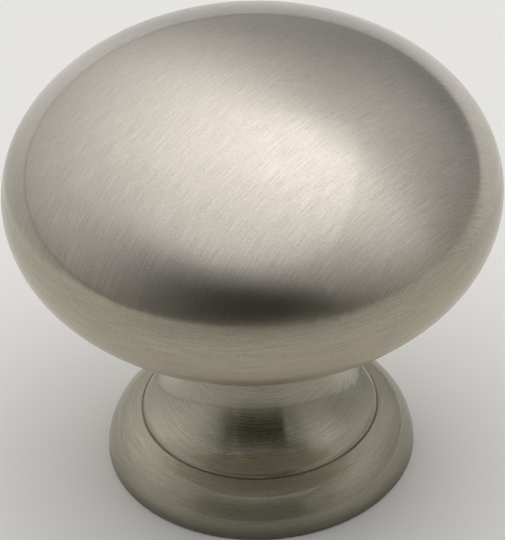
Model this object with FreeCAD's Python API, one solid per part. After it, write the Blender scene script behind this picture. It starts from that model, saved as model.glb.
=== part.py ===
"""Cabinet knob, one solid: oval head, waisted neck, raised lip and round base flange.

Units are millimetres. The origin is the centre of the base's underside, and +Z points out of the door,
along the knob's axis, to the top of the dome.
"""
import FreeCAD, Part
import math
import os
from FreeCAD import Vector

# Overall sizes
overall_height = 29.52       # underside of the base to the top of the dome
head_diameter = 31.75        # one and a quarter inches
head_thickness = 17.86       # the head's oval section, from dome to underside
base_diameter = 19.5

# Base flange
base_land = 0.17             # upright edge that stands on the door
base_edge_break = 0.1
top_slope = 27.0             # degrees that the flange's top falls from the lip towards its edge
shoulder_height = 2.1        # where the top's slope would meet the upright edge
shoulder_run = 1.6           # how far the shoulder's rounding reaches up the slope
least_top = 0.3              # what the rounding always leaves of the slope, beside the lip

# Lip and neck
lip_diameter = 14.9          # where the lip meets the flange's top
lip_roll_radius = 0.42       # the lip's edge, from the cove's end down to the flange
lip_draft = 12.0             # degrees that the lip's foot leans in from upright
quirk_width = 0.16           # fine groove around the lip's foot
quirk_depth = 0.15
waist_diameter = 8.5
cove_sweep = 61.3            # degrees that the cove turns through, from the waist down to the lip
waist_share = 0.645          # how far up the neck the waist lies, from the lip to the flare's corner
flare_diameter = 13.2        # where the flare above the waist runs into the head's underside

# Screw hole, tapped for a number 8 machine screw with 32 threads an inch
screw_diameter = 4.166       # the wall stands at the outside of the screw's thread
tapped_depth = 12.7          # from the base's underside to the end of the full diameter
drill_point_angle = 118.0
mouth_chamfer = 0.35

# Underside
rim_width = 1.8              # flat ring that bears on the door
recess_depth = 0.8           # relief around the screw boss
boss_diameter = 8.0
boss_setback = 0.2           # the boss stays this far inside the rim, so that only the rim bears

full_turn = 360.0
same_place = 1e-4            # how near two places lie that count as one
origin = Vector(0, 0, 0)
up = Vector(0, 0, 1)

head_radius = head_diameter / 2
head_rise = head_thickness / 2
head_centre = overall_height - head_rise
base_radius = base_diameter / 2
lip_radius = lip_diameter / 2
waist_radius = waist_diameter / 2
flare_radius = flare_diameter / 2
screw_radius = screw_diameter / 2
boss_radius = boss_diameter / 2
rim_radius = base_radius - rim_width


def point(radius, height):
    """A point of an outline, which is drawn in the XZ plane."""
    return Vector(radius, 0, height)


def facing(angle):
    """The unit direction of an outline's outward normal, raised by this angle."""
    return point(math.cos(angle), math.sin(angle))


def straight(start, end):
    return Part.LineSegment(start, end).toShape()


def rounded(start, corner, end, turn):
    """An oval arc that leaves start towards corner, reaches end from corner, and turns through turn."""
    curve = Part.BezierCurve()
    curve.setPoles([start, corner, end])
    curve.setWeight(2, math.cos(turn / 2))
    return curve.toShape()


def turned(edges):
    """The solid that a closed outline sweeps in one turn about the axis."""
    return Part.Face(Part.Wire(edges)).revolve(origin, up, full_turn)


def turned_polygon(corners):
    sides = zip(corners, corners[1:] + corners[:1])
    return turned([straight(start, end) for start, end in sides])


def ring_edges(shape, radius, height):
    """The circular edges about the axis that have this radius and height."""
    centre = point(0, height)
    return [
        edge for edge in shape.Edges
        if not edge.Degenerated
        and isinstance(edge.Curve, Part.Circle)
        and edge.Curve.Center.isEqual(centre, same_place)
        and abs(edge.Curve.Radius - radius) < same_place
    ]


def outer_form():
    """Base, lip, neck and oval head, from one outline that starts and ends on the axis."""
    axis_foot = point(0, 0)
    rim_corner = point(base_radius, 0)
    land_top = point(base_radius, base_land)

    # Flange: the rounded shoulder, then the sloped top up to the lip's foot
    fall = math.radians(top_slope)
    slope_length = (base_radius - lip_radius) / math.cos(fall)
    rounding = min(shoulder_run, slope_length - least_top)
    shoulder_corner = point(base_radius, shoulder_height)
    up_slope = point(-math.cos(fall), math.sin(fall))
    shoulder_top = shoulder_corner + up_slope * rounding
    lip_foot = shoulder_corner + up_slope * slope_length

    # Lip: a circular roll, which faces out by its draft at the foot and by the cove's sweep at the top
    draft = math.radians(lip_draft)
    cove_turn = math.radians(cove_sweep)
    lip_centre = lip_foot - facing(draft) * lip_roll_radius
    lip_middle = lip_centre + facing((draft + cove_turn) / 2) * lip_roll_radius
    lip_top = lip_centre + facing(cove_turn) * lip_roll_radius

    # Quirk: its inner wall carries on down from the lip's foot
    quirk_edge = lip_foot - up_slope * quirk_width
    quirk_floor = lip_foot + facing(draft - math.pi / 2) * quirk_depth

    # Flare: leaves the waist upright and runs into the head's underside
    join_angle = math.acos(flare_radius / head_radius)
    join = point(flare_radius, head_centre - head_rise * math.sin(join_angle))
    join_slope = head_rise / (head_radius * math.tan(join_angle))
    flare_turn = math.pi / 2 - math.atan(join_slope)
    flare_corner = point(waist_radius, join.z - join_slope * (flare_radius - waist_radius))

    # Cove: from the lip up to the waist, which has its place in the neck's height
    waist = point(waist_radius, lip_top.z + waist_share * (flare_corner.z - lip_top.z))
    cove_corner = point(waist_radius, lip_top.z + (lip_top.x - waist_radius) / math.tan(cove_turn))

    # Head: its oval in two stretches, below and above its widest ring
    join_corner = point(head_radius, head_centre - head_rise * math.tan(join_angle / 2))
    widest = point(head_radius, head_centre)
    crown_corner = point(head_radius, overall_height)
    crown = point(0, overall_height)
    return turned([
        straight(axis_foot, rim_corner),
        straight(rim_corner, land_top),
        rounded(land_top, shoulder_corner, shoulder_top, math.pi / 2 - fall),
        straight(shoulder_top, quirk_edge),
        straight(quirk_edge, quirk_floor),
        straight(quirk_floor, lip_foot),
        Part.Arc(lip_foot, lip_middle, lip_top).toShape(),
        rounded(lip_top, cove_corner, waist, cove_turn),
        rounded(waist, flare_corner, join, flare_turn),
        rounded(join, join_corner, widest, join_angle),
        rounded(widest, crown_corner, crown, math.pi / 2),
        straight(crown, axis_foot),
    ])


def underside_relief():
    """The space inside the rim: shallow over the screw boss and deeper around it."""
    return turned_polygon([
        point(0, 0),
        point(rim_radius, 0),
        point(rim_radius, recess_depth),
        point(boss_radius, recess_depth),
        point(boss_radius, boss_setback),
        point(0, boss_setback),
    ])


def screw_hole():
    """Blind hole with a chamfered mouth at the boss's face and a drill point at its end."""
    point_length = screw_radius / math.tan(math.radians(drill_point_angle / 2))
    chamfer_end = boss_setback + mouth_chamfer
    return turned_polygon([
        point(0, 0),
        point(screw_radius + chamfer_end, 0),
        point(screw_radius, chamfer_end),
        point(screw_radius, tapped_depth),
        point(0, tapped_depth + point_length),
    ])


def knob():
    """The whole knob, as its one solid."""
    body = outer_form()
    body = body.makeFillet(base_edge_break, ring_edges(body, base_radius, 0))
    [solid] = body.cut(underside_relief()).cut(screw_hole()).Solids
    return solid


os.makedirs("parts", exist_ok=True)
knob_body = knob()
knob_body.exportStep("parts/knob_body.step")
print("knob_body", knob_body.ShapeType, knob_body.isValid(), round(knob_body.Volume, 1), "mm3")
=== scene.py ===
"""Looks of the cabinet knob: brushed satin nickel under clear lacquer, seen in a white light tent.

Lengths are metres unless a comment says otherwise. The knob's axis is Z, and the camera looks along +Y
from above.
"""
import math

import bpy
from mathutils import Matrix, Vector


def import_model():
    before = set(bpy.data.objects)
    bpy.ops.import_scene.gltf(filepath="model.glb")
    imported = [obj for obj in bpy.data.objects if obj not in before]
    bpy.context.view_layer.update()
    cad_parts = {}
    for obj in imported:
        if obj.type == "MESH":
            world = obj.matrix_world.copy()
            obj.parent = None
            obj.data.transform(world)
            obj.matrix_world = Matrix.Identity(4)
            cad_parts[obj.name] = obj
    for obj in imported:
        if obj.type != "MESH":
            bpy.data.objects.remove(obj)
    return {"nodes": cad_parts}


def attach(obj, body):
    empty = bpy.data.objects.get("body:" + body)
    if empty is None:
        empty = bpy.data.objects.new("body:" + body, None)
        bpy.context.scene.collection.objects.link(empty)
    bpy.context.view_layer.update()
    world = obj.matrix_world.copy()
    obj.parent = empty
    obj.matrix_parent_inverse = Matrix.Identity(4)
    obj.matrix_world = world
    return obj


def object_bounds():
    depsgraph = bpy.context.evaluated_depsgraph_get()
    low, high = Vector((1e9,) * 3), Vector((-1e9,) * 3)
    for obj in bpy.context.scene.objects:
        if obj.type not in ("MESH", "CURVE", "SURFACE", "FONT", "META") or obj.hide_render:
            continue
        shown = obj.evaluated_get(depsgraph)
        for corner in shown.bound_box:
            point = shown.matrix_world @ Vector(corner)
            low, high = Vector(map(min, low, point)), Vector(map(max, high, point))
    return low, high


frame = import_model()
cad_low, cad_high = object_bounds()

MM = 0.001
WHITE = (1, 1, 1, 1)

# Heights on the knob
KNOB_HEIGHT = cad_high.z
HEAD_HALF_THICKNESS = 8.93 * MM
HEAD_CENTRE = KNOB_HEIGHT - HEAD_HALF_THICKNESS
HEAD_UNDERSIDE = 12.6 * MM
LIP_TOP = 3.7 * MM

# Limits a little outside the recess under the base, and outside the screw hole
RECESS_RADIUS = 8.0 * MM
RECESS_TOP = 0.85 * MM
BORE_RADIUS = 2.5 * MM
BORE_TOP = 14.5 * MM

# Screw thread: number 8 with 32 threads an inch, in the plain bore
THREAD_PITCH = 25.4 / 32 * MM
THREAD_ROOT = 2.083 * MM
THREAD_CREST = 1.725 * MM
THREAD_BOTTOM = 0.6 * MM
THREAD_TOP = 12.4 * MM
THREAD_HALF_ROOT = 0.43 * THREAD_PITCH
THREAD_HALF_CREST = 0.09 * THREAD_PITCH
THREAD_BURIED = 0.03 * MM       # how far the ridge's foot reaches into the wall
THREAD_SEGMENTS = 48            # steps in one turn
THREAD_LEAST_RISE = 0.05        # share of its height that the ridge keeps at its ends

# Camera, fitted to the knob's outline in the photograph
PHOTO_HEIGHT = 540              # pixels
PIXELS_PER_TANGENT = 12620.8
SENSOR = 36.0                   # millimetres
CAMERA_DISTANCE = 0.8
CAMERA_ELEVATION = math.radians(39.242)
CAMERA_ROLL = math.radians(2.064)
CAMERA_PIVOT = Vector((0, 0, 14.0 * MM))
CAMERA_TARGET = Vector((-0.1685 * MM, 0, 14.214 * MM))

# Light tent, measured from the knob
TENT_LEFT = -0.44
TENT_RIGHT = 0.52
TENT_FRONT = -0.87
TENT_BACK = 0.79
TENT_TOP = 1.0
CEILING_FRONT = -0.62           # a sloped sheet joins the ceiling to the opening's top
OPENING_TOP = 0.76
SHADOW_LINE_TOP = 0.02                  # a black strip along each wall's foot, painted shadow where the sheet meets the floor

# Floor and world
FLOOR_HEIGHT = -0.01 * MM       # just clear of the knob's rim
FLOOR_HALF_WIDTH = 3.0
FLOOR_COLOUR = (0.86, 0.85, 0.83, 1)
WORLD_STRENGTH = 0.8

# Brushed lines and grain
DOME_BRUSH_ANGLE = math.radians(48)
DOME_EDGE_ANGLE = math.radians(12)      # how far up the metal faces where the dome's straight lines begin
DOME_FULL_ANGLE = math.radians(22)      # and where the lines round the axis have gone
LINES_ALONG = 0.5                       # noise cells per millimetre
LINES_ACROSS = 17.0                     # noise cells per millimetre
LINE_DETAIL = 2.0
LINE_DEPTH = 0.0008 * MM
LINE_TONE = 0.09
LINE_ROUGHNESS = 0.03
GRAIN_CELLS = 9.0                       # noise cells per millimetre
GRAIN_DETAIL = 1.0
GRAIN_TONE = 0.07
TONE_NOISE = (0.3, 0.7)                 # noise values between which the tone changes
ROUGHNESS_NOISE = (0.25, 0.75)          # noise values between which the roughness changes

# Heights in millimetres over which each zone takes over from the one below
FLANGE_START = (0.1, 1.2)
NECK_START = (LIP_TOP / MM - 0.5, LIP_TOP / MM + 0.5)
UNDERSIDE_START = (HEAD_UNDERSIDE / MM - 1, HEAD_UNDERSIDE / MM + 0.5)
SIDE_START = (HEAD_CENTRE / MM - 3, HEAD_CENTRE / MM + 1)
DOME_START = (HEAD_CENTRE / MM + 1, HEAD_CENTRE / MM + 4.5)

# Colour of the foot and of each zone above it: one nickel, made darker or lighter zone by zone as painted
# shade and light, and darkest at the foot as a painted contact shadow
FOOT_PAINTED_SHADOW = (0.18, 0.17, 0.13, 1)
ZONE_LIT_AND_SHADED_METALS = (
    (FLANGE_START, (0.345, 0.32, 0.238, 1)),
    (NECK_START, (0.345, 0.322, 0.24, 1)),
    (UNDERSIDE_START, (0.465, 0.41, 0.295, 1)),
    (SIDE_START, (0.395, 0.36, 0.27, 1)),
    (DOME_START, (0.49, 0.447, 0.39, 1)),
)

# Roughness of the brushed metal
FLANGE_ROUGHNESS = 0.38
NECK_ROUGHNESS = 0.27
HEAD_ROUGHNESS = 0.32

# Metal in the recess and the screw hole
HIDDEN_METAL = (0.3, 0.28, 0.24, 1)
HIDDEN_ROUGHNESS = 0.5

# Places of the Mix node's two inputs and its output, for each type of data
MIX_SOCKETS = {"FLOAT": (2, 3, 0), "VECTOR": (4, 5, 1), "RGBA": (6, 7, 2)}


class Nodes:
    """A node tree with short ways to add nodes. Values are numbers, vectors or another node's output."""

    def __init__(self, tree):
        self.tree = tree
        tree.nodes.clear()

    def add(self, kind, inputs=(), **settings):
        node = self.tree.nodes.new("ShaderNode" + kind)
        for name, value in settings.items():
            setattr(node, name, value)
        pairs = inputs.items() if isinstance(inputs, dict) else enumerate(inputs)
        for key, value in pairs:
            self.feed(node.inputs[key], value)
        return node

    def feed(self, socket, value):
        if isinstance(value, bpy.types.NodeSocket):
            self.tree.links.new(value, socket)
        else:
            socket.default_value = value

    def math(self, operation, *values):
        return self.add("Math", values, operation=operation).outputs[0]

    def times(self, first, second):
        return self.math("MULTIPLY", first, second)

    def below(self, value, limit):
        return self.math("LESS_THAN", value, limit)

    def vector(self, operation, *values):
        node = self.add("VectorMath", operation=operation)
        for socket, value in zip(node.inputs, values):
            self.feed(socket, value)
        return node.outputs["Value" if operation in ("DOT_PRODUCT", "LENGTH") else "Vector"]

    def scaled(self, vector, factor):
        node = self.add("VectorMath", {"Vector": vector, "Scale": factor}, operation="SCALE")
        return node.outputs["Vector"]

    def combine(self, x, y, z):
        return self.add("CombineXYZ", (x, y, z)).outputs[0]

    def blend(self, factor, first, second, data_type="FLOAT"):
        """Goes from first to second as factor goes from 0 to 1."""
        node = self.add("Mix", data_type=data_type, clamp_factor=True)
        low, high, out = MIX_SOCKETS[data_type]
        self.feed(node.inputs[0], factor)
        self.feed(node.inputs[low], first)
        self.feed(node.inputs[high], second)
        return node.outputs[out]

    def ramp(self, value, start, end, low=0.0, high=1.0):
        """Goes smoothly from low to high as value goes from start to end."""
        inputs = {"Value": value, "From Min": start, "From Max": end, "To Min": low, "To Max": high}
        return self.add("MapRange", inputs, interpolation_type="SMOOTHSTEP").outputs[0]

    def noise(self, vector, detail, w=None):
        """Noise with cells one unit wide. Where w is given, it is a fourth dimension."""
        inputs = {"Vector": vector, "Scale": 1.0, "Detail": detail}
        if w is None:
            return self.add("TexNoise", inputs, noise_dimensions="3D").outputs[0]
        return self.add("TexNoise", {**inputs, "W": w}, noise_dimensions="4D").outputs[0]


def new_material(name):
    material = bpy.data.materials.new(name)
    material.use_nodes = True
    return material, Nodes(material.node_tree)


def finish_material(nodes, shader):
    nodes.add("OutputMaterial", {"Surface": shader})


def new_mesh(name, vertices, faces):
    mesh = bpy.data.meshes.new(name)
    mesh.from_pydata(vertices, [], faces)
    return mesh


def new_object(name, data):
    made = bpy.data.objects.new(name, data)
    bpy.context.scene.collection.objects.link(made)
    return made


def satin_nickel():
    """Brushed plating under lacquer: straight lines over the dome, and lines round the axis elsewhere."""
    material, nodes = new_material("satin_nickel_brushed")
    place = nodes.add("TexCoord").outputs["Object"]
    in_mm = nodes.scaled(place, 1 / MM)
    x, y, z = nodes.add("SeparateXYZ", (in_mm,)).outputs
    normal = nodes.add("NewGeometry").outputs["Normal"]
    normal_z = nodes.add("SeparateXYZ", (normal,)).outputs[2]
    radius = nodes.vector("LENGTH", nodes.combine(x, y, 0.0))

    # The dome, where the brushing is straight
    on_head = nodes.math("GREATER_THAN", z, HEAD_CENTRE / MM)
    facing_up = nodes.ramp(normal_z, math.sin(DOME_EDGE_ANGLE), math.sin(DOME_FULL_ANGLE))
    dome = nodes.times(on_head, facing_up)

    # The recess and the screw hole, where the metal is darker and rougher
    in_recess = nodes.times(nodes.below(z, RECESS_TOP / MM), nodes.below(radius, RECESS_RADIUS / MM))
    in_bore = nodes.times(nodes.below(z, BORE_TOP / MM), nodes.below(radius, BORE_RADIUS / MM))
    hidden = nodes.math("MAXIMUM", in_recess, in_bore)

    # Direction in which the brushing spreads a reflection, across its lines
    across = Vector((-math.sin(DOME_BRUSH_ANGLE), math.cos(DOME_BRUSH_ANGLE), 0))
    along = Vector((math.cos(DOME_BRUSH_ANGLE), math.sin(DOME_BRUSH_ANGLE), 0))
    around = nodes.vector("CROSS_PRODUCT", (0, 0, 1), place)
    downhill = nodes.vector("NORMALIZE", nodes.vector("CROSS_PRODUCT", normal, around))
    spread = nodes.blend(dome, downhill, tuple(across), "VECTOR")

    # Fine lines, which are noise drawn out along the brushing
    dome_along = nodes.times(nodes.vector("DOT_PRODUCT", in_mm, tuple(along)), LINES_ALONG)
    dome_across = nodes.times(nodes.vector("DOT_PRODUCT", in_mm, tuple(across)), LINES_ACROSS)
    dome_lines = nodes.noise(nodes.combine(dome_along, dome_across, 0.0), LINE_DETAIL)
    round_place = nodes.combine(
        nodes.times(x, LINES_ALONG),
        nodes.times(y, LINES_ALONG),
        nodes.times(z, LINES_ACROSS),
    )
    round_lines = nodes.noise(round_place, LINE_DETAIL, w=nodes.times(radius, LINES_ACROSS))
    lines = nodes.blend(dome, round_lines, dome_lines)
    bump = nodes.add("Bump", {"Strength": 1.0, "Distance": LINE_DEPTH, "Height": lines}).outputs[0]

    # Colour of the zones, with painted shade and light from zone to zone and a painted contact shadow at
    # the foot, and with the tone of the lines and the grain
    shaded_plating = FOOT_PAINTED_SHADOW
    for start, zone_shaded_metal in ZONE_LIT_AND_SHADED_METALS:
        shaded_plating = nodes.blend(nodes.ramp(z, *start), shaded_plating, zone_shaded_metal, "RGBA")
    shaded_plating = nodes.blend(hidden, shaded_plating, HIDDEN_METAL, "RGBA")
    line_tone = nodes.ramp(lines, *TONE_NOISE, 1 - LINE_TONE, 1 + LINE_TONE)
    grain = nodes.noise(nodes.scaled(in_mm, GRAIN_CELLS), GRAIN_DETAIL)
    grain_tone = nodes.ramp(grain, *TONE_NOISE, 1 - GRAIN_TONE, 1 + GRAIN_TONE)
    tone = nodes.times(line_tone, grain_tone)
    colour = nodes.vector("MULTIPLY", shaded_plating, nodes.combine(tone, tone, tone))

    # Roughness of the zones, changed a little by the lines
    below_head = nodes.below(z, UNDERSIDE_START[0])
    flange_to_neck = nodes.blend(nodes.ramp(z, *NECK_START), FLANGE_ROUGHNESS, NECK_ROUGHNESS)
    zone_roughness = nodes.blend(below_head, HEAD_ROUGHNESS, flange_to_neck)
    zone_roughness = nodes.blend(hidden, zone_roughness, HIDDEN_ROUGHNESS)
    line_roughness = nodes.ramp(lines, *ROUGHNESS_NOISE, LINE_ROUGHNESS, -LINE_ROUGHNESS)
    shader = nodes.add("BsdfPrincipled", {
        "Base Color": colour,
        "Metallic": 1.0,
        "Roughness": nodes.math("ADD", zone_roughness, line_roughness),
        "Anisotropic": 0.92,
        "Tangent": spread,
        "Normal": bump,
        "Coat Weight": 0.6,
        "Coat Roughness": 0.06,
        "Coat IOR": 1.6,
    })
    finish_material(nodes, shader.outputs[0])
    return material


def thread_ridge():
    """The screw thread's ridge: one long tooth that winds up the bore, with its ends run out."""
    turns = (THREAD_TOP - THREAD_BOTTOM) / THREAD_PITCH
    steps = round(turns * THREAD_SEGMENTS)
    run_out_steps = THREAD_SEGMENTS / 2
    foot = THREAD_ROOT + THREAD_BURIED
    vertices = []
    for step in range(steps + 1):
        angle = math.tau * step / THREAD_SEGMENTS
        height = THREAD_BOTTOM + THREAD_PITCH * step / THREAD_SEGMENTS
        run_out = min(step, steps - step, run_out_steps) / run_out_steps
        crest = THREAD_ROOT - (THREAD_ROOT - THREAD_CREST) * max(run_out, THREAD_LEAST_RISE)
        section = (
            (foot, -THREAD_HALF_ROOT),
            (crest, -THREAD_HALF_CREST),
            (crest, THREAD_HALF_CREST),
            (foot, THREAD_HALF_ROOT),
        )
        for radius, offset in section:
            vertices.append((radius * math.cos(angle), radius * math.sin(angle), height + offset))
    corners = len(section)
    faces = [tuple(range(corners - 1, -1, -1))]
    for step in range(steps):
        lower = corners * step
        upper = lower + corners
        for corner in range(corners):
            following = (corner + 1) % corners
            faces.append((lower + corner, lower + following, upper + following, upper + corner))
    faces.append(tuple(corners * steps + corner for corner in range(corners)))
    mesh = new_mesh("screw_thread", vertices, faces)
    mesh.validate()
    return new_object("screw_thread", mesh)


def glow_material(name):
    """Gives off light whose strength the mesh's own attribute holds."""
    material, nodes = new_material(name)
    strength = nodes.add("Attribute", attribute_name="glow").outputs["Fac"]
    emission = nodes.add("Emission", {"Color": WHITE, "Strength": strength})
    finish_material(nodes, emission.outputs[0])
    return material


def panel(name, corner, across, up, glow):
    """A sheet of the tent, which the camera doesn't see.

    It starts at corner. glow gives its strength, as a list across for each row going up.
    """
    rows, columns = len(glow), len(glow[0])
    vertices = []
    for row in range(rows):
        for column in range(columns):
            vertices.append(corner + across * column / (columns - 1) + up * row / (rows - 1))
    faces = []
    for row in range(rows - 1):
        for column in range(columns - 1):
            first = row * columns + column
            faces.append((first, first + 1, first + columns + 1, first + columns))
    mesh = new_mesh(name, vertices, faces)
    strengths = [strength for row in glow for strength in row]
    mesh.attributes.new("glow", "FLOAT", "POINT").data.foreach_set("value", strengths)
    mesh.materials.append(glow_material(name))
    sheet = new_object(name, mesh)
    sheet.visible_camera = False


def light_tent():
    """A white tent, brightest at the back right of its ceiling, with its front open to a dark room."""
    left_front = Vector((TENT_LEFT, TENT_FRONT, 0))
    right_front = Vector((TENT_RIGHT, TENT_FRONT, 0))
    left_back = Vector((TENT_LEFT, TENT_BACK, 0))
    ceiling_corner = Vector((TENT_LEFT, CEILING_FRONT, TENT_TOP))
    width = right_front - left_front
    depth = left_back - left_front
    ceiling_depth = Vector((0, TENT_BACK - CEILING_FRONT, 0))
    # Height of the black strip of painted shadow along each wall's foot
    shadow_line = Vector((0, 0, SHADOW_LINE_TOP))
    wall = Vector((0, 0, TENT_TOP - SHADOW_LINE_TOP))
    opening = Vector((0, 0, OPENING_TOP))
    opening_corner = left_front + opening
    panel("tent_ceiling", ceiling_corner, width, ceiling_depth, [
        [0.9, 1.2, 0.9, 0.3],
        [1.1, 1.3, 1.5, 1.4],
        [1.4, 1.4, 1.6, 2.5],
        [1.7, 1.8, 2.4, 2.8],
        [1.5, 1.6, 1.8, 1.2],
    ])
    panel("tent_front", opening_corner, width, ceiling_corner - opening_corner, [
        [0.0, 0.1, 0.2],
        [0.5, 0.6, 0.2],
    ])
    panel("tent_left", left_front + shadow_line, depth, wall, [
        [0.1, 0.1, 0.7, 0.6, 0.4],
        [0.0, 0.1, 0.8, 1.1, 0.9],
        [0.0, 0.6, 1.4, 1.2, 1.4],
    ])
    panel("tent_right", right_front + shadow_line, depth, wall, [
        [0.0, 0.2, 0.3, 0.3, 0.2],
        [0.5, 0.5, 1.0, 0.7, 0.7],
        [0.3, 0.0, 0.4, 1.0, 1.2],
    ])
    panel("tent_back", left_back + shadow_line, width, wall, [
        [0.4, 0.4, 0.2, 0.1],
        [0.9, 1.1, 0.5, 0.7],
        [1.2, 1.7, 0.8, 1.1],
    ])
    dark = [[0.0, 0.0], [0.0, 0.0]]
    panel("dark_room", left_front, width, opening, dark)
    # Black strips along the walls' feet: painted shadow where each sheet meets the floor
    panel("shadow_line_left", left_front, depth, shadow_line, dark)
    panel("shadow_line_right", right_front, depth, shadow_line, dark)
    panel("shadow_line_back", left_back, width, shadow_line, dark)


def floor():
    """A plain pale floor that ends well outside every view."""
    half = FLOOR_HALF_WIDTH
    corners = ((-half, -half), (half, -half), (half, half), (-half, half))
    mesh = new_mesh("floor", [(x, y, FLOOR_HEIGHT) for x, y in corners], [(0, 1, 2, 3)])
    material, nodes = new_material("floor_white")
    diffuse = nodes.add("BsdfDiffuse", {"Color": FLOOR_COLOUR})
    finish_material(nodes, diffuse.outputs[0])
    mesh.materials.append(material)
    ground = new_object("floor", mesh)


def world():
    studio = bpy.data.worlds.new("studio")
    studio.use_nodes = True
    nodes = Nodes(studio.node_tree)
    background = nodes.add("Background", {"Color": WHITE, "Strength": WORLD_STRENGTH})
    nodes.add("OutputWorld", {"Surface": background.outputs[0]})
    bpy.context.scene.world = studio


def camera():
    back = Vector((0, -math.cos(CAMERA_ELEVATION), math.sin(CAMERA_ELEVATION)))
    place = CAMERA_PIVOT + back * CAMERA_DISTANCE
    forward = (CAMERA_TARGET - place).normalized()
    level = forward.cross(Vector((0, 0, 1))).normalized()
    upright = level.cross(forward)
    right = level * math.cos(CAMERA_ROLL) - upright * math.sin(CAMERA_ROLL)
    up = right.cross(forward)
    data = bpy.data.cameras.new("camera")
    data.sensor_width = SENSOR
    data.lens = PIXELS_PER_TANGENT * SENSOR / PHOTO_HEIGHT
    eye = new_object("camera", data)
    eye.matrix_world = Matrix((
        (right.x, up.x, -forward.x, place.x),
        (right.y, up.y, -forward.y, place.y),
        (right.z, up.z, -forward.z, place.z),
        (0, 0, 0, 1),
    ))
    bpy.context.scene.camera = eye


bpy.context.scene.view_settings.view_transform = "Standard"
camera()
world()
floor()
light_tent()

nickel = satin_nickel()
frame["nodes"]["knob_body"].material_slots[0].material = nickel
thread = thread_ridge()
thread.data.materials.append(nickel)
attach(thread, "root")
